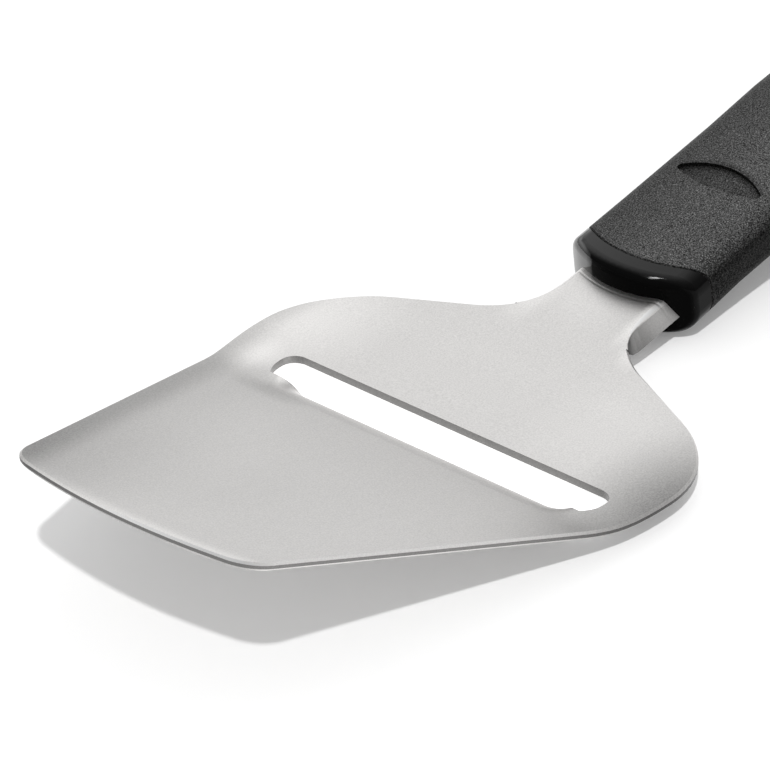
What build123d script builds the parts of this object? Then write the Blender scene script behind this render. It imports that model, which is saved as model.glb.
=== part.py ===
from build123d import *
import math
import os

# Cheese slicer: one stamped steel blade, a hard handle core moulded round its tang,
# and a soft grip moulded over the core. Millimetres, +Z up, +X from the tip of the
# blade to the tail of the handle. It lies as it does on a table: on the cutting lip
# and on the underside of the handle's tail. The origin is under the middle.
# Places along the blade are measured from its tip.

# Whole object
overall_length = 240.0
sheet = 1.2
overrun = 30.0

# Blade, seen from above
blade_width = 74.0
front_radius = 75.0
corner_radius = 6.0
side_angle = 14.6
widest_at = 70.8
side_bow_radius = 46.0
widest_flat = 0.4
shoulder_radius = 18.0
shoulder_angle = 66.0
neck_radius = 14.6
neck_width = 12.8
rim_chamfer = 0.35

# Blade, seen from the side: the top face at the tip, the fold and the heel
tip_height = 22.2
fold_at = 59.7
fold_height = 4.16
fold_radius = 32.0
heel_at = 84.0
heel_height = 3.65
heel_radius = 40.0
neck_slope = 8.6

# Slicing slot and the cutting lip bent down in front of it
slot_side = 7.9
slot_shift = -1.8
slot_front_at = 58.0
slot_rear_at = 66.7
slot_front_corner = 6.0
slot_rear_corner = 2.4
lip_inset = 1.4
lip_bend = 12.5
lip_ramp = 6.0
lip_ramp_shares = (0.0, 0.1, 0.5, 0.9, 1.0)
edge_thickness = 0.25

# Turned-down flanges of the neck
flange_half = 9.3
flange_depth = 3.15
flange_bend = 1.6
flange_bend_run = 0.9
flange_lead = 2.5
flange_starts_at = 96.0
flange_full_at = 99.4
flange_inside = 5.0
flange_steps = 8
rim_bend = 0.4
least_lean = 0.05
least_lip = 0.1

# Tang inside the handle
tang_length = 52.0
tang_nose = 4.0
lock_hole = 5.0
lock_first = 16.0
lock_pitch = 18.0

# Handle: its axis leaves the collar along the neck, then bows down to the tail
collar_at = 106.4
axis_drop = 1.2
bow_starts_at = 142.0
bow_radius = 240.1
collar_length = 3.6
face_radius = 17.0
face_round = 1.6
seam_chamfer = 0.4
tail_round = 3.6
tail_steps = 5

# Cross-section of the handle: sides joined by crowned faces
top_crown_share = 0.22
bottom_crown_share = 0.12
# Half width, height above the axis with its corner radius, depth below the axis with
# its corner radius: where the form starts inside the collar, and behind the collar
form_starts_at = 103.5
flare_ends_at = 122.0
flared_section = (11.3, 5.0, 3.4, 6.65, 4.2)
slim_section = (11.3, 5.05, 3.5, 4.95, 3.4)
# The same where the bow starts, and what its swelling adds
bow_section = (11.4, 5.15, 3.55, 5.0, 3.5)
bow_swell = (1.6, 2.05, 1.4, 1.95, 1.4)
swell_turn = 126.0
bow_steps = 8

# Body of the core inside the grip
body_width = 16.0
body_thickness = 6.6
body_start_at = 109.6
body_end_cover = 6.0

# Bare recess across the top of the grip
recess_at = 131.3
recess_width = 16.0
recess_forward = 2.5
recess_back = 3.1
recess_tip = 0.8
recess_depth = 0.6

# Hanging hole in the tail, lined by the core
hanging_hole = 7.0
eyelet_wall = 2.2
mouth_chamfer = 0.6

# Planes and points that the pieces share
tip_at = -overall_length / 2
side_plane = Plane(origin=(tip_at, 0, 0), x_dir=(1, 0, 0), z_dir=(0, -1, 0))
plan_plane = Plane(origin=(tip_at, 0, 0))
slope = math.radians(neck_slope)
neck_plane = Plane(
    origin=(tip_at + heel_at, 0, heel_height),
    x_dir=(math.cos(slope), 0, math.sin(slope)),
    z_dir=(-math.sin(slope), 0, math.cos(slope)),
)
tang_end = collar_at + tang_length
bow_step = (overall_length - bow_starts_at) / bow_steps
hanging_at = overall_length - 1.5 * bow_step
body_end_at = overall_length - body_end_cover
half_blade = blade_width / 2
neck_half = neck_width / 2
slot_length = blade_width - 2 * slot_side
side_turn = math.radians(side_angle)
shoulder_turn = math.radians(shoulder_angle)
bow_at = widest_at - side_bow_radius * math.tan(side_turn / 2)
shoulder_at = widest_at + widest_flat + shoulder_radius * math.tan(shoulder_turn / 2)


def along_neck(place):
    """Distance from the heel along the sloping neck, for a place along the blade."""
    return (place - heel_at) / math.cos(slope)


def neck_height(place):
    return heel_height + (place - heel_at) * math.tan(slope)


def shoulder_line(half_width):
    """Where the straight back of the shoulder reaches a given half width."""
    return shoulder_at + (half_blade - half_width) / math.tan(shoulder_turn)


def blade_corner():
    """Where the straight side of the blade meets the bowed front edge."""
    rise = math.tan(side_turn)
    side_foot = half_blade - bow_at * rise
    reach = front_radius - side_foot * rise
    steepness = 1 + rise**2
    x = (reach - math.sqrt(reach**2 - steepness * side_foot**2)) / steepness
    return (x, side_foot + rise * x)


def blade_outline():
    """The blade from above, with its tang."""
    right = [
        blade_corner(),
        (bow_at, half_blade),
        (shoulder_at, half_blade),
        (shoulder_line(neck_half), neck_half),
        (tang_end, neck_half),
    ]
    left = [(x, -y) for x, y in right]
    with BuildSketch(plan_plane) as outline:
        with BuildLine():
            ThreePointArc(left[0], (0, 0), right[0])
            FilletPolyline(*right, radius=[side_bow_radius, shoulder_radius, neck_radius])
            FilletPolyline(*left, radius=[side_bow_radius, shoulder_radius, neck_radius])
            Line(left[-1], right[-1])
        make_face()
        fillet(outline.vertices().group_by(Axis.X)[0], corner_radius)
        fillet(outline.vertices().group_by(Axis.X)[-1], tang_nose)
    return outline.sketch


# The cutting lip starts where the fold starts, and its edge ends just above the table
front_slope = math.atan2(tip_height - fold_height, fold_at)
belly_slope = math.atan2(fold_height - heel_height, heel_at - fold_at)
fold_tangent = fold_radius * math.tan((front_slope - belly_slope) / 2)
lip_start_at = fold_at - fold_tangent * math.cos(front_slope)
lip_start_height = fold_height + fold_tangent * math.sin(front_slope)
lip_drop = lip_start_height - edge_thickness
lip_turn = math.acos(math.cos(front_slope) - lip_drop / lip_bend) - front_slope
corner_left = slot_front_corner - lip_inset
corner_step = slot_front_corner - math.sqrt(slot_front_corner**2 - corner_left**2)
lip_end_length = (slot_front_at + corner_step - lip_start_at) / math.cos(front_slope)
lip_left = slot_shift + slot_length / 2 - lip_inset
lip_right = slot_shift - slot_length / 2 + lip_inset


def lip_section(y, share):
    """The lip's cross-section: following the fold at share 0, fully bent down at 1."""
    end_turn = -lip_end_length / fold_radius
    turn = end_turn + (lip_turn - end_turn) * share
    length = lip_end_length + (lip_bend * lip_turn - lip_end_length) * share
    radius = length / turn

    def point(part, depth):
        angle = front_slope + turn * part
        x = lip_start_at + radius * (math.sin(angle) - math.sin(front_slope))
        z = lip_start_height - radius * (math.cos(front_slope) - math.cos(angle))
        return (x - depth * math.sin(angle), z - depth * math.cos(angle))

    with BuildSketch(side_plane.offset(-y)) as section:
        with BuildLine():
            ThreePointArc(point(0, 0), point(0.5, 0), point(1, 0))
            Line(point(1, 0), point(1, sheet))
            ThreePointArc(point(1, sheet), point(0.5, sheet), point(0, sheet))
            Line(point(0, sheet), point(0, 0))
        make_face()
    return section.sketch


# Cutting lip: a ramp at each end of the slot and the straight bend between them,
# ground flat underneath where it meets the table
ramps = []
for end_y, inward in ((lip_left, -1), (lip_right, 1)):
    step = inward * lip_ramp / (len(lip_ramp_shares) - 1)
    ramps.append([lip_section(end_y + step * k, v) for k, v in enumerate(lip_ramp_shares)])
with BuildPart() as cutting_lip:
    for ramp in ramps:
        loft(ramp)
    loft([ramps[0][-1], ramps[1][-1]], ruled=True)
    split(bisect_by=Plane.XY, keep=Keep.TOP)

# Flanges: the two edges of the neck, bent down. Each starts as the edge of the sheet
# where the shoulder turns into the neck, and grows to its full depth towards the collar
neck_turn_at = shoulder_line(neck_half) + neck_radius * math.tan(shoulder_turn / 2)
upright_sheet = sheet / math.cos(slope)


def eased(place, start, end):
    """A share that grows smoothly from 0 to 1 between two places."""
    share = min(max((place - start) / (end - start), 0), 1)
    return (1 - math.cos(math.pi * share)) / 2


def flange_section(place):
    """The flange's cross-section at a place along the neck, on the +Y side."""
    turned = max(neck_turn_at - place, 0)
    ridge = neck_half + neck_radius - math.sqrt(neck_radius**2 - turned**2)
    growth = eased(place, flange_starts_at, neck_turn_at)
    knee = ridge + flange_bend_run * growth
    foot = max(flange_half, knee + least_lean)
    edge = upright_sheet + least_lip
    depth = edge + (flange_depth - edge) * eased(place, flange_starts_at, flange_full_at)
    lean = math.atan2(depth, foot - knee)
    inner_foot = (foot - sheet * math.sin(lean), -depth - sheet * math.cos(lean))
    inner_knee = foot - sheet / math.sin(lean) - (depth - upright_sheet) / math.tan(lean)
    section_plane = Plane(
        origin=(tip_at + place, 0, neck_height(place)), x_dir=(0, 1, 0), z_dir=(1, 0, 0)
    )
    with BuildSketch(section_plane) as section:
        with BuildLine():
            Polyline(
                (ridge - flange_lead, 0),
                (knee, 0),
                (foot, -depth),
                inner_foot,
                (inner_knee, -upright_sheet),
                (ridge - flange_lead, -upright_sheet),
                close=True,
            )
        make_face()
        top_right = section.vertices().group_by(Axis.Y)[-1].sort_by(Axis.X)[-1]
        fillet(top_right, rim_bend + (flange_bend - rim_bend) * growth)
    return section.sketch


with BuildPart() as flanges:
    flange_step = (neck_turn_at - flange_starts_at) / flange_steps
    flange_places = [flange_starts_at + flange_step * k for k in range(flange_steps + 1)]
    flange_places.append(collar_at + flange_inside)
    loft([flange_section(place) for place in flange_places], ruled=True)
    mirror(about=Plane.XZ)

# Blade: one stamped sheet with the slot, the lip, the flanged neck and the tang
front_plane = Plane(
    origin=(tip_at + lip_start_at, 0, lip_start_height),
    x_dir=(math.cos(front_slope), 0, -math.sin(front_slope)),
    z_dir=(math.sin(front_slope), 0, math.cos(front_slope)),
)
with BuildPart() as blade:
    with BuildSketch(side_plane):
        with BuildLine():
            top_line = FilletPolyline(
                (0, tip_height),
                (fold_at, fold_height),
                (heel_at, heel_height),
                (tang_end, neck_height(tang_end)),
                radius=[fold_radius, heel_radius],
            )
            offset(top_line, amount=sheet, side=Side.RIGHT)
        make_face()
    extrude(amount=half_blade, both=True)
    extrude(
        blade_outline(),
        amount=overrun,
        both=True,
        mode=Mode.INTERSECT,
    )
    rim = blade.edges().filter_by(Axis.Y, reverse=True)
    rim = rim.filter_by(lambda edge: edge.length > 2 * sheet)
    rim_end = tip_at + shoulder_line(neck_half)
    chamfer(rim.filter_by(lambda edge: edge.center().X < rim_end), rim_chamfer)
    with BuildSketch(front_plane):
        window = (slot_front_at + slot_rear_at) / 2 - lip_start_at
        with Locations((window / 2, (lip_left + lip_right) / 2)):
            Rectangle(window, lip_left - lip_right)
    extrude(amount=2 * sheet, both=True, mode=Mode.SUBTRACT)
    with BuildSketch(plan_plane) as slot:
        with Locations(((slot_front_at + slot_rear_at) / 2, slot_shift)):
            Rectangle(slot_rear_at - slot_front_at, slot_length)
        fillet(slot.vertices().group_by(Axis.X)[0], slot_front_corner)
        fillet(slot.vertices().group_by(Axis.X)[-1], slot_rear_corner)
    extrude(amount=overrun, both=True, mode=Mode.SUBTRACT)
    add(cutting_lip.part)
    add(flanges.part)
    with BuildSketch(neck_plane):
        for number in range(2):
            with Locations((along_neck(collar_at) + lock_first + lock_pitch * number, 0)):
                Circle(lock_hole / 2)
    extrude(amount=overrun, both=True, mode=Mode.SUBTRACT)
blade.part.label = "blade"

# Handle: upright sections across a bowed axis


def axis_slope(place):
    bowed = max(place - bow_starts_at, 0)
    return math.asin(math.sin(slope) - bowed / bow_radius)


def axis_plane(place):
    """The plane along the handle's axis at a place: x along it, y across it."""
    angle = axis_slope(place)
    rise = (min(place, bow_starts_at) - collar_at) * math.tan(slope)
    rise += bow_radius * (math.cos(angle) - math.cos(slope))
    return Plane(
        origin=(tip_at + place, 0, neck_height(collar_at) - axis_drop + rise),
        x_dir=(math.cos(angle), 0, math.sin(angle)),
        z_dir=(-math.sin(angle), 0, math.cos(angle)),
    )


def handle_section(place, sizes, inset):
    """The handle's crowned section at a place, drawn in by an inset."""
    half_width, height, top_corner, depth, bottom_corner = sizes
    w = half_width - inset
    top = height - inset
    top_side = top - height * top_crown_share
    bottom = inset - depth
    bottom_side = bottom + depth * bottom_crown_share
    section_plane = Plane(origin=axis_plane(place).origin, x_dir=(0, 1, 0), z_dir=(1, 0, 0))
    with BuildSketch(section_plane) as section:
        with BuildLine():
            ThreePointArc((-w, top_side), (0, top), (w, top_side))
            Line((w, top_side), (w, bottom_side))
            ThreePointArc((w, bottom_side), (0, bottom), (-w, bottom_side))
            Line((-w, bottom_side), (-w, top_side))
        make_face()
        fillet(section.vertices().group_by(Axis.Y)[-1], top_corner - inset)
        fillet(section.vertices().group_by(Axis.Y)[0], bottom_corner - inset)
    return section.sketch


def bow_sizes(step):
    """The section's sizes at a step of the bow: swelling, then easing to the tail."""
    swelling = math.sin(math.radians(swell_turn) * step / bow_steps)
    return [size + swell * swelling for size, swell in zip(bow_section, bow_swell)]


def tail_section(step):
    """The rounded end: sections drawn in along a quarter circle."""
    turn = math.pi / 2 * step / tail_steps
    place = overall_length - tail_round * (1 - math.sin(turn))
    return handle_section(place, bow_sizes(bow_steps), tail_round * (1 - math.cos(turn)))


def behind(run):
    """From above: everything behind the bowed front of the collar, moved back by a run."""
    with BuildSketch(axis_plane(collar_at)) as region:
        with Locations((run + face_radius, 0)):
            Circle(face_radius)
        with Locations((run + face_radius + overall_length / 2, 0)):
            Rectangle(overall_length, 2 * overrun)
    return region.sketch


with BuildPart() as handle_form:
    loft(
        [
            handle_section(form_starts_at, flared_section, 0),
            handle_section(flare_ends_at, slim_section, 0),
            *(
                handle_section(bow_starts_at + bow_step * step, bow_sizes(step), 0)
                for step in range(bow_steps)
            ),
            *(tail_section(step) for step in range(tail_steps + 1)),
        ],
        ruled=True,
    )
    extrude(behind(0), amount=overrun, both=True, mode=Mode.INTERSECT)
    fillet(handle_form.faces().filter_by(GeomType.CYLINDER).edges(), face_round)

# The body of the core inside the grip: one section along the whole axis
with BuildPart() as core_body:
    with BuildLine():
        body_axis = [axis_plane(place) for place in (body_start_at, bow_starts_at, body_end_at)]
        Line(body_axis[0].origin, body_axis[1].origin)
        TangentArc(body_axis[1].origin, body_axis[2].origin, tangent=body_axis[1].x_dir)
    with BuildSketch(Plane(body_axis[0].origin, x_dir=(0, 1, 0), z_dir=body_axis[0].x_dir)):
        Rectangle(body_width, body_thickness)
    sweep()

# The lining of the hanging hole, flush with the grip at both ends
hole_plane = axis_plane(hanging_at)
with BuildPart() as eyelet:
    add(handle_form.part)
    with BuildSketch(hole_plane):
        Circle(hanging_hole / 2 + eyelet_wall)
    extrude(amount=overrun, both=True, mode=Mode.INTERSECT)
    with BuildSketch(hole_plane):
        Circle(hanging_hole / 2)
    extrude(amount=overrun, both=True, mode=Mode.SUBTRACT)
    hole_wall = eyelet.faces(Select.LAST).filter_by(GeomType.CYLINDER)
    chamfer(hole_wall.edges().filter_by(GeomType.LINE, reverse=True), mouth_chamfer)

# Handle core: the collar, the body inside the grip and the lining, moulded round
# the tang, so it fills the two holes in the tang
with BuildPart() as handle_core:
    add(handle_form.part)
    extrude(behind(collar_length), amount=overrun, both=True, mode=Mode.SUBTRACT)
    add(core_body.part)
    with BuildSketch(hole_plane):
        Circle((hanging_hole + eyelet_wall) / 2)
    extrude(amount=overrun, both=True, mode=Mode.SUBTRACT)
    add(eyelet.part)
    add(blade.part, mode=Mode.SUBTRACT)
handle_core.part.label = "handle_core"

# Soft grip: moulded over the core, with the bare recess across its top
with BuildPart() as recess:
    with BuildSketch(axis_plane(recess_at)) as recess_outline:
        with BuildLine():
            left_tip = (0, recess_width / 2)
            right_tip = (0, -recess_width / 2)
            ThreePointArc(right_tip, (-recess_forward, 0), left_tip)
            ThreePointArc(left_tip, (recess_back, 0), right_tip)
        make_face()
        fillet(recess_outline.vertices(), recess_tip)
    extrude(amount=overrun)
    loft(
        [
            handle_section(flare_ends_at, slim_section, recess_depth),
            handle_section(bow_starts_at, bow_section, recess_depth),
        ],
        ruled=True,
        mode=Mode.SUBTRACT,
    )
with BuildPart() as soft_grip:
    add(handle_form.part)
    extrude(behind(collar_length), amount=overrun, both=True, mode=Mode.INTERSECT)
    chamfer(soft_grip.faces().filter_by(GeomType.CYLINDER).edges(), seam_chamfer)
    add(recess.part, mode=Mode.SUBTRACT)
    add(core_body.part, mode=Mode.SUBTRACT)
    with BuildSketch(hole_plane):
        Circle(hanging_hole / 2 + eyelet_wall)
    extrude(amount=overrun, both=True, mode=Mode.SUBTRACT)
soft_grip.part.label = "soft_grip"

os.makedirs("parts", exist_ok=True)
for piece in (blade, handle_core, soft_grip):
    export_step(piece.part, f"parts/{piece.part.label}.step")
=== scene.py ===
import math

import bpy
from mathutils import Matrix, Vector


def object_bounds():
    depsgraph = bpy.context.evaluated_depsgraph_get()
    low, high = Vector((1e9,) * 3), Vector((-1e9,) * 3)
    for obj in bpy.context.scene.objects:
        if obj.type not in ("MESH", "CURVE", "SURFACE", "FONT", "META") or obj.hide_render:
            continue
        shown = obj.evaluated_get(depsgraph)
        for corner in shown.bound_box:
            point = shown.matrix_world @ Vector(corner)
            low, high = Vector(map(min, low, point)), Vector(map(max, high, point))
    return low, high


# Looks of the cheese slicer: satin steel, glossy black core, soft matte grip.
# Metres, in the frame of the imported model. It lies on a white table.
# The tip points to -X, and left is +Y, as seen from in front of the tip.
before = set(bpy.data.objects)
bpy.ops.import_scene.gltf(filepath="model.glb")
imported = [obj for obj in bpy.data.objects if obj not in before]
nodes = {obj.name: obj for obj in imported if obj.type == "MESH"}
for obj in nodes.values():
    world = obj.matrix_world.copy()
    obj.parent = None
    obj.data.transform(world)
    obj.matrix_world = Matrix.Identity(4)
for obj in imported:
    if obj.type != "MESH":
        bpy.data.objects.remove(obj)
cad_low, cad_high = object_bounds()

# Camera: long lens, from the front right of the blade, above it
camera_azimuth = math.radians(-50)
camera_elevation = math.radians(31.998)
camera_distance = 0.65671
camera_aim = Vector((-0.08293, -0.01464, 0.02955))
camera_lens_mm = 233.77
camera_sensor_mm = 36

# Light: a key lamp from above on the camera's side, a lamp for glints, and a room pale on its far side
key_travel = Vector((0.49, 0.35, -1))
key_strength = 1.9
key_spread = math.radians(2.5)
glint_lamp_direction = Vector((-0.55, -0.02, 0.82))
glint_lamp_distance = 0.8
glint_lamp_length = 0.42
glint_lamp_width = 0.06
glint_lamp_energy = 3.5
far_side = Vector((0.766, 0.643, 0))
room_far_colour = (1.10, 1.10, 1.10)
room_near_colour = (0.42, 0.42, 0.42)
room_turn = (-0.5, 0.8)
horizon_share = 0.47
bright_height = 0.45
white = (1, 1, 1)

# Table, and the strip of it that is seen through the slot, where light is painted
table_size = 8.0
table_colour = (0.80, 0.80, 0.80)
table_lift_share = 0.18
strip_painted_light_share = 0.6
strip_y = 0.0015
strip_half_width = 0.0045
strip_half_length = 0.0285
strip_blur = 0.002

# Places that the finishes and the painted shade follow. The front's end is counted from the centre of its
# arc.
tip_x = cad_low.x
blade_half = cad_high.y
widest_x = tip_x + 0.0708
side_rise = math.tan(math.radians(14.6))
strip_x = tip_x + 0.0660
front_radius = 0.075
front_end_range = (-0.06, -0.055)
front_y_range = (-0.004, 0.021)
shoulder_x_range = (-0.0265, -0.0245)
flange_x_range = (-0.0225, -0.0140)
collar_face_x = tip_x + 0.1064
collar_face_radius = 0.017
recess_x = tip_x + 0.1313
recess_half = 0.008
recess_front = 0.0025
recess_back = 0.0031
recess_blur = 0.0002
least_narrowing = 0.001
lip_offset = 0.0004
lip_half_width = 0.0006

# Noise values lie mostly within this range, around this mean
noise_range = (0.3, 0.7)
noise_mean = 0.5

# Steel: colour, grain and the faint lines of rolling. A noise has a scale, a detail and a roughness.
steel_dark = (0.665, 0.655, 0.645)
steel_pale = (0.69, 0.68, 0.67)
steel_roughness = (0.36, 0.42)
steel_grain_noise = (4200, 2, 0.6)
steel_cloud_noise = (45, 3, 0.5)
rolling_scales = (30, 900, 30)
rolling_noise = (1, 2, 0.6)
cloud_share = 0.7
rolling_share = 0.3
steel_grain_gains = (0.90, 1.10)
steel_grain_depth = 0.00003
steel_grain_strength = 0.5
mark_offset = 0.0011
mark_half_widths = (0.00005, 0.0003)
mark_depth = 0.00002

# Painted shade and highlight on the steel, seen from above: centre, reach and gain
steel_painted_tones = (
    ((-0.123, 0.027), (0.055, 0.030), -0.37),
    ((-0.098, -0.018), (0.040, 0.022), 0.03),
    ((-0.051, -0.0405), (0.034, 0.019), -0.68),
    ((-0.046, 0.032), (0.024, 0.015), 0.20),
    ((-0.0575, 0.0310), (0.007, 0.005), 0.20),
    ((-0.0650, 0.0215), (0.0035, 0.009), -0.17),
    ((-0.0228, -0.0120), (0.0065, 0.0038), 0.30),
    ((-0.0168, -0.0080), (0.010, 0.0022), 0.35),
    ((-0.0200, 0.0090), (0.010, 0.004), 0.20),
    ((-0.0150, 0.0), (0.011, 0.012), 0.14),
    ((-0.0400, -0.0180), (0.020, 0.012), 0.07),
    ((-0.0720, 0.0290), (0.030, 0.016), -0.13),
)
# Painted shade and highlight at the steel's edges, bevels and flanges
edge_shade_width = 0.005
edge_shade_gain = -0.24
front_highlight_width = 0.0028
front_highlight_gain = 0.26
front_cut_shade_loss = -0.40
lower_bevel_shade_loss = -0.45
bevel_highlight_gain = 0.30
cut_edge_shade_share = 0.34
flange_shade_shares = (0.18, 0.80)

# How far a face looks up or down: 0 stands upright, and 1 lies flat
upright_range = (0.12, 0.3)
leaning_range = (0.5, 0.75)
bevel_rise = (0.55, 0.62)
bevel_fall = (0.90, 0.94)
lower_bevel_rise = (0.3, 0.5)
lower_bevel_fall = (0.88, 0.92)

# Core: a painted reflection by the way a face turns: its front face and right side shine least, its left
# side most
core_colour = (0.002, 0.002, 0.002)
core_shines = (0.02, 0.30)
core_front_range = (-0.75, -0.45)
core_left_shine = 1.15
core_left_range = (0.27, 0.36)
core_right_share = 0.2
core_right_range = (-0.75, -0.35)
core_marks_noise = (260, 4, 0.6)
core_marks_range = (0.35, 0.7)
core_roughness = (0.08, 0.15)
core_wave_noise = (700, 2, 0.5)
core_wave_depth = 0.00001
core_wave_strength = 0.4

# Grip: colour, moulded grain and shine, with painted shade and less shine at the sides and in the recess
grip_black = (0.0, 0.0, 0.0)
grip_grey = (0.018, 0.018, 0.0175)
grip_grain_noise = (5200, 1, 0.5)
grip_grain_contrast = 4.5
grip_grain_depth = 0.0001
grip_grain_strength = 0.9
grip_cloud_noise = (60, 3, 0.5)
grip_cloud_gains = (0.85, 1.15)
grip_side_range = (0.3, 0.93)
grip_side_shade_share = 0.3
grip_shine = 0.66
grip_side_shade_shine = 0.05
grip_painted_sheen_shares = (1.15, 0.45)
grip_painted_sheen_y_range = (-0.002, 0.011)
grip_roughness = (0.40, 0.62)
recess_shade_share = 0.7
recess_shade_shine_share = 0.55
lip_painted_highlight = 2.0
lip_height = 0.00006


def new_material(name):
    """An empty node material with its output and one Principled shader."""
    material = bpy.data.materials.new(name)
    material.use_nodes = True
    tree = material.node_tree
    tree.nodes.clear()
    output = tree.nodes.new("ShaderNodeOutputMaterial")
    shader = tree.nodes.new("ShaderNodeBsdfPrincipled")
    tree.links.new(shader.outputs["BSDF"], output.inputs["Surface"])
    return material, tree, shader


def node(tree, kind, inputs=None, **settings):
    """Adds a node: inputs are socket names or places with a value or another socket."""
    made = tree.nodes.new("ShaderNode" + kind)
    for key, value in settings.items():
        setattr(made, key, value)
    for key, value in (inputs or {}).items():
        if isinstance(value, bpy.types.NodeSocket):
            tree.links.new(value, made.inputs[key])
        else:
            made.inputs[key].default_value = value
    return made


def math_node(tree, operation, *values):
    return node(tree, "Math", dict(enumerate(values)), operation=operation).outputs[0]


def product(tree, first, *others):
    """The first value times each of the others."""
    for other in others:
        first = math_node(tree, "MULTIPLY", first, other)
    return first


def raised(tree, value, share, amount):
    """The value plus a share of the amount."""
    return math_node(tree, "MULTIPLY_ADD", share, amount, value)


def length(tree, a, b):
    """The straight distance over two offsets at a right angle."""
    squares = math_node(tree, "ADD", math_node(tree, "POWER", a, 2), math_node(tree, "POWER", b, 2))
    return math_node(tree, "SQRT", squares)


def spread(tree, value, to_range, from_range=(0.0, 1.0), kind="LINEAR"):
    """Maps a value from one range to another, and holds it at the ends."""
    inputs = {
        "Value": value,
        "From Min": from_range[0],
        "From Max": from_range[1],
        "To Min": to_range[0],
        "To Max": to_range[1],
    }
    return node(tree, "MapRange", inputs, clamp=True, interpolation_type=kind).outputs[0]


def fade(tree, value, start, width):
    """1 up to the start, then a soft fall to 0 over the width."""
    return spread(tree, value, (1, 0), (start, start + width), "SMOOTHSTEP")


def band(tree, value, rise, fall):
    """Rises from 0 to 1 over one range, and falls back to 0 over the other."""
    return product(tree, spread(tree, value, (0, 1), rise), spread(tree, value, (1, 0), fall))


def away_from(tree, value, place):
    return math_node(tree, "ABSOLUTE", math_node(tree, "SUBTRACT", value, place))


def object_place(tree, scales=(1, 1, 1)):
    """Object coordinates, in metres, with each axis scaled."""
    place = node(tree, "TexCoord").outputs["Object"]
    return node(tree, "Mapping", {"Vector": place, "Scale": scales}).outputs[0]


def split(tree, vector):
    return node(tree, "SeparateXYZ", {"Vector": vector}).outputs


def split_normal(tree):
    """The smooth surface's normal, as x, y and z."""
    return split(tree, node(tree, "NewGeometry").outputs["Normal"])


def noise(tree, place, scale, detail, roughness):
    inputs = {"Vector": place, "Scale": scale, "Detail": detail, "Roughness": roughness}
    return node(tree, "TexNoise", inputs).outputs[0]


def patch(tree, centre, reach):
    """A soft patch seen from above: 1 at its centre, 0 from its reach in x and y on."""
    place = node(tree, "TexCoord").outputs["Object"]
    inputs = {"Vector": place, "Location": (*centre, 0), "Scale": (*reach, 1)}
    scaled = node(tree, "Mapping", inputs, vector_type="TEXTURE").outputs[0]
    x, y, _ = split(tree, scaled)
    return fade(tree, length(tree, x, y), 0, 1)


def colour_mix(tree, factor, first, second, blend="MIX"):
    """Mixes two colours, each written as a colour or as a socket."""
    mix = node(tree, "Mix", data_type="RGBA", blend_type=blend)
    if isinstance(factor, bpy.types.NodeSocket):
        tree.links.new(factor, mix.inputs["Factor"])
    else:
        mix.inputs["Factor"].default_value = factor
    sockets = [one for one in mix.inputs if one.type == "RGBA"]
    for socket, colour in zip(sockets, (first, second)):
        if isinstance(colour, bpy.types.NodeSocket):
            tree.links.new(colour, socket)
        else:
            socket.default_value = (*colour, 1)
    return [one for one in mix.outputs if one.type == "RGBA"][0]


def bump(tree, height, distance, strength=1.0, normal=None):
    inputs = {"Height": height, "Distance": distance, "Strength": strength}
    if normal is not None:
        inputs["Normal"] = normal
    return node(tree, "Bump", inputs).outputs[0]


def steel_grain_and_painted_gain(tree, x, y, grain):
    """How bright the steel is at each place: its grain, and painted shade and highlight by place, edges and
    bends.
    """
    upward_signed = split_normal(tree)[2]
    upward = math_node(tree, "ABSOLUTE", upward_signed)
    gain = spread(tree, grain, steel_grain_gains, noise_range)
    # Painted shade and highlight, in soft patches
    for centre, reach, amount in steel_painted_tones:
        gain = raised(tree, gain, patch(tree, centre, reach), amount)

    # Painted shade: the long left edge is a little darker
    before_widest = math_node(tree, "MAXIMUM", math_node(tree, "SUBTRACT", widest_x, x), 0.0)
    edge_y = raised(tree, blade_half, before_widest, -side_rise)
    to_edge = math_node(tree, "SUBTRACT", edge_y, y)
    gain = raised(tree, gain, fade(tree, to_edge, 0, edge_shade_width), edge_shade_gain)

    # Painted highlight: the front edge is a little brighter, apart from its left corner
    from_centre = math_node(tree, "SUBTRACT", x, tip_x + front_radius)
    to_front = math_node(tree, "SUBTRACT", front_radius, length(tree, from_centre, y))
    front = fade(tree, to_front, 0, front_highlight_width)
    front = product(tree, front, spread(tree, from_centre, (1, 0), front_end_range))
    front_highlight = product(tree, front, spread(tree, y, (1, 0), front_y_range))
    gain = raised(tree, gain, front_highlight, front_highlight_gain)

    # Painted highlight: the rim's bevel and the bends of the neck are painted bright
    gain = raised(tree, gain, band(tree, upward, bevel_rise, bevel_fall), bevel_highlight_gain)

    # Painted shade: cut edges stand upright and are painted dark, most of all at the front, with the bevel
    # under it
    gain = product(tree, gain, spread(tree, upward, (cut_edge_shade_share, 1), upright_range))
    front_cut = product(tree, spread(tree, upward, (1, 0), upright_range), front)
    gain = product(tree, gain, raised(tree, 1.0, front_cut, front_cut_shade_loss))
    downward = math_node(tree, "MULTIPLY", upward_signed, -1.0)
    lower_front = product(tree, band(tree, downward, lower_bevel_rise, lower_bevel_fall), front)
    gain = product(tree, gain, raised(tree, 1.0, lower_front, lower_bevel_shade_loss))

    # Painted shade: the flanges lean, and are painted darkest beside the shoulders
    leaning = spread(tree, upward, (1, 0), leaning_range)
    flange = product(tree, leaning, spread(tree, x, (0, 1), shoulder_x_range))
    flange_change = math_node(tree, "SUBTRACT", spread(tree, x, flange_shade_shares, flange_x_range), 1.0)
    return product(tree, gain, raised(tree, 1.0, flange, flange_change))


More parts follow.
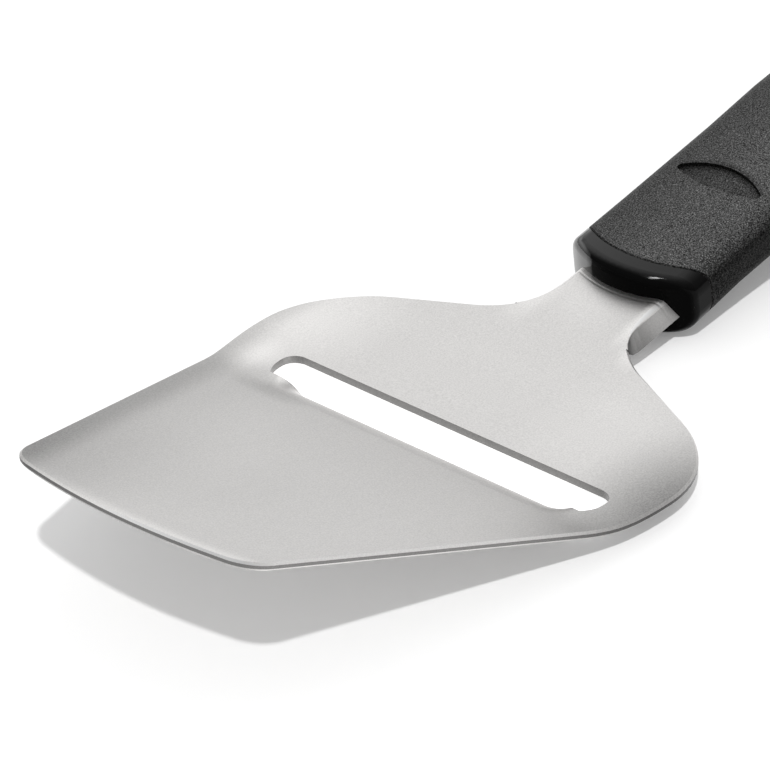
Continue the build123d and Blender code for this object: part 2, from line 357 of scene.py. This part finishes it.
def steel():
    """Satin steel: a fine blasted grain, painted shade and highlight, cut edges painted dark, and a mark
    before the collar.
    """
    material, tree, shader = new_material("satin_steel")
    shader.inputs["Metallic"].default_value = 1.0
    place = object_place(tree)
    x, y, _ = split(tree, place)
    grain = noise(tree, place, *steel_grain_noise)
    cloud = noise(tree, place, *steel_cloud_noise)
    rolling = noise(tree, object_place(tree, rolling_scales), *rolling_noise)
    tone = raised(tree, product(tree, rolling, rolling_share), cloud, cloud_share)
    colour = colour_mix(tree, spread(tree, tone, (0, 1), noise_range), steel_dark, steel_pale)
    colour = colour_mix(tree, 1.0, colour, steel_grain_and_painted_gain(tree, x, y, grain), "MULTIPLY")
    tree.links.new(colour, shader.inputs["Base Color"])
    tree.links.new(spread(tree, cloud, steel_roughness, noise_range), shader.inputs["Roughness"])

    # The mark of the collar's tool, just in front of the collar
    from_centre = math_node(tree, "SUBTRACT", x, collar_face_x + collar_face_radius)
    off_mark = away_from(tree, length(tree, from_centre, y), collar_face_radius + mark_offset)
    mark = spread(tree, off_mark, (0, 1), mark_half_widths)
    grained = bump(tree, grain, steel_grain_depth, steel_grain_strength)
    tree.links.new(bump(tree, mark, mark_depth, 1.0, grained), shader.inputs["Normal"])
    return material


def core_plastic():
    """Glossy black plastic with a painted reflection by the way each face turns, and faint handling marks.
    """
    material, tree, shader = new_material("core_gloss")
    shader.inputs["Base Color"].default_value = (*core_colour, 1)
    # Painted reflection: the shine is set by which way each face turns
    tailward, leftward, _ = split_normal(tree)
    shine = spread(tree, tailward, core_shines, core_front_range)
    shine = math_node(tree, "ADD", shine, spread(tree, leftward, (0, core_left_shine), core_left_range))
    shine = product(tree, shine, spread(tree, leftward, (core_right_share, 1), core_right_range))
    tree.links.new(shine, shader.inputs["Specular IOR Level"])
    place = object_place(tree)
    marks = noise(tree, place, *core_marks_noise)
    tree.links.new(spread(tree, marks, core_roughness, core_marks_range), shader.inputs["Roughness"])
    waves = bump(tree, noise(tree, place, *core_wave_noise), core_wave_depth, core_wave_strength)
    tree.links.new(waves, shader.inputs["Normal"])
    return material


def grip_rubber():
    """Matte black rubber with a fine moulded grain, and painted shade on its sides and in its recess."""
    material, tree, shader = new_material("grip_matte")
    place = object_place(tree)
    x, y, _ = split(tree, place)
    grain = noise(tree, place, *grip_grain_noise)
    cloud = noise(tree, place, *grip_cloud_noise)
    upward = split_normal(tree)[2]
    side = spread(tree, upward, (1, 0), grip_side_range, "SMOOTHSTEP")
    specks = math_node(tree, "POWER", math_node(tree, "DIVIDE", grain, noise_mean), grip_grain_contrast)

    # The recess: a lens, whose two arcs meet at its tips
    across = math_node(tree, "DIVIDE", y, recess_half)
    narrowing = math_node(tree, "SUBTRACT", 1.0, product(tree, across, across))
    narrowing = math_node(tree, "MAXIMUM", narrowing, least_narrowing)
    along = math_node(tree, "DIVIDE", math_node(tree, "SUBTRACT", x, recess_x), narrowing)
    front_range = (-recess_front - recess_blur, -recess_front + recess_blur)
    back_range = (recess_back - recess_blur, recess_back + recess_blur)
    recess = product(tree, band(tree, along, front_range, back_range), spread(tree, upward, (0, 1)))

    # Colour: specks of grey on black, with painted shade on the sides and in the recess
    tone = product(tree, specks, spread(tree, cloud, grip_cloud_gains, noise_range))
    tone = product(tree, tone, spread(tree, side, (1, grip_side_shade_share)))
    tone = product(tree, tone, spread(tree, recess, (1, recess_shade_share)))
    tree.links.new(colour_mix(tree, tone, grip_black, grip_grey), shader.inputs["Base Color"])

    # Shine: painted shade dulls the sides and the recess, and a painted highlight lies on its front lip
    lip = fade(tree, away_from(tree, along, -recess_front - lip_offset), 0, lip_half_width)
    shine = product(tree, spread(tree, side, (grip_shine, grip_side_shade_shine)), specks)
    # Painted sheen: stronger towards the right of the top, weaker towards its left edge
    shine = product(tree, shine, spread(tree, y, grip_painted_sheen_shares, grip_painted_sheen_y_range))
    shine = product(tree, shine, spread(tree, recess, (1, recess_shade_shine_share)))
    shine = product(tree, shine, spread(tree, lip, (1, lip_painted_highlight)))
    tree.links.new(shine, shader.inputs["Specular IOR Level"])
    tree.links.new(spread(tree, grain, grip_roughness, noise_range), shader.inputs["Roughness"])
    ridge = bump(tree, lip, lip_height)
    tree.links.new(bump(tree, grain, grip_grain_depth, grip_grain_strength, ridge), shader.inputs["Normal"])
    return material


def table_material():
    """White table: a plain matte that keeps the shadow, lifted to white as it is seen, with a strip of
    painted light.
    """
    material, tree, shader = new_material("table_white")
    shader.inputs["Base Color"].default_value = (*table_colour, 1)
    shader.inputs["Roughness"].default_value = 1.0
    shader.inputs["Specular IOR Level"].default_value = 0.0
    shader.inputs["Emission Color"].default_value = (*white, 1)
    path = node(tree, "LightPath").outputs
    seen = math_node(tree, "MAXIMUM", path["Is Camera Ray"], path["Is Glossy Ray"])
    seen = math_node(tree, "MAXIMUM", seen, path["Is Transmission Ray"])

    # Painted light: the strip of table seen through the slot is lifted brighter, as if light fell through
    # the slot
    x, y, _ = split(tree, object_place(tree))
    across = fade(tree, away_from(tree, x, strip_x), strip_half_width, strip_blur)
    along = fade(tree, away_from(tree, y, strip_y), strip_half_length, strip_blur)
    share = raised(tree, table_lift_share, product(tree, across, along), strip_painted_light_share)
    tree.links.new(product(tree, seen, share), shader.inputs["Emission Strength"])
    return material


def dress(node_name, material):
    """Gives every face of a piece one material."""
    slots = nodes[node_name].data.materials
    if not slots:
        slots.append(material)
    for number in range(len(slots)):
        slots[number] = material


dress("blade", steel())
dress("handle_core", core_plastic())
dress("soft_grip", grip_rubber())

# Table under the object
half_table = table_size / 2
corners = [(-half_table, -half_table, 0), (half_table, -half_table, 0)]
corners += [(half_table, half_table, 0), (-half_table, half_table, 0)]
table_mesh = bpy.data.meshes.new("table")
table_mesh.from_pydata(corners, [], [(0, 1, 2, 3)])
table_mesh.materials.append(table_material())
table = bpy.data.objects.new("table", table_mesh)
bpy.context.scene.collection.objects.link(table)

# Room: a dome, pale on the far side and dimmer on the camera's side, and white where it is seen
world = bpy.data.worlds.new("room")
world.use_nodes = True
bpy.context.scene.world = world
world_tree = world.node_tree
world_tree.nodes.clear()
world_out = world_tree.nodes.new("ShaderNodeOutputWorld")
direction = node(world_tree, "TexCoord").outputs["Generated"]
across_room = node(world_tree, "VectorMath", {0: direction, 1: far_side}, operation="DOT_PRODUCT")
far_share = spread(world_tree, across_room.outputs["Value"], (0, 1), room_turn, "SMOOTHSTEP")
room_colour = colour_mix(world_tree, far_share, room_near_colour, room_far_colour)
height = split(world_tree, direction)[2]
height_share = spread(world_tree, height, (horizon_share, 1), (0.0, bright_height), "SMOOTHSTEP")
lit_colour = colour_mix(world_tree, 1.0, room_colour, height_share, "MULTIPLY")
is_seen = node(world_tree, "LightPath").outputs["Is Camera Ray"]
background_colour = colour_mix(world_tree, is_seen, lit_colour, white)
room = node(world_tree, "Background", {"Color": background_colour, "Strength": 1.0})
world_tree.links.new(room.outputs[0], world_out.inputs["Surface"])


def lamp(name, kind, travel, place=(0, 0, 0)):
    """A lamp that shines along a direction, and its object."""
    data = bpy.data.lights.new(name, kind)
    lamp_object = bpy.data.objects.new(name, data)
    bpy.context.scene.collection.objects.link(lamp_object)
    lamp_object.rotation_mode = "QUATERNION"
    lamp_object.rotation_quaternion = Vector(travel).to_track_quat("-Z", "Y")
    lamp_object.location = place
    return data, lamp_object


# The key lamp makes the shadow, and shows in no reflection
key, key_object = lamp("key", "SUN", key_travel)
key.energy = key_strength
key.angle = key_spread
key_object.visible_glossy = False

# Only the core takes this lamp's light, for its glints: the satin steel would glare, seen from behind
glint_lamp_way = glint_lamp_direction.normalized()
glint, glint_object = lamp("strip", "AREA", -glint_lamp_way, glint_lamp_way * glint_lamp_distance)
glint.shape = "RECTANGLE"
glint.size = glint_lamp_width
glint.size_y = glint_lamp_length
glint.energy = glint_lamp_energy
glint_receivers = bpy.data.collections.new("glint_receivers")
glint_receivers.objects.link(nodes["handle_core"])
glint_object.light_linking.receiver_collection = glint_receivers

# Camera
camera_data = bpy.data.cameras.new("camera")
camera_data.sensor_width = camera_sensor_mm
camera_data.lens = camera_lens_mm
camera_back = Vector(
    (
        math.sin(camera_azimuth) * math.cos(camera_elevation),
        -math.cos(camera_azimuth) * math.cos(camera_elevation),
        math.sin(camera_elevation),
    )
)
camera = bpy.data.objects.new("camera", camera_data)
bpy.context.scene.collection.objects.link(camera)
camera_right = Vector((0, 0, 1)).cross(camera_back).normalized()
camera_up = camera_back.cross(camera_right)
turn = Matrix((camera_right, camera_up, camera_back)).transposed().to_4x4()
camera.matrix_world = Matrix.Translation(camera_aim + camera_back * camera_distance) @ turn
bpy.context.scene.camera = camera

bpy.context.scene.view_settings.view_transform = "Standard"
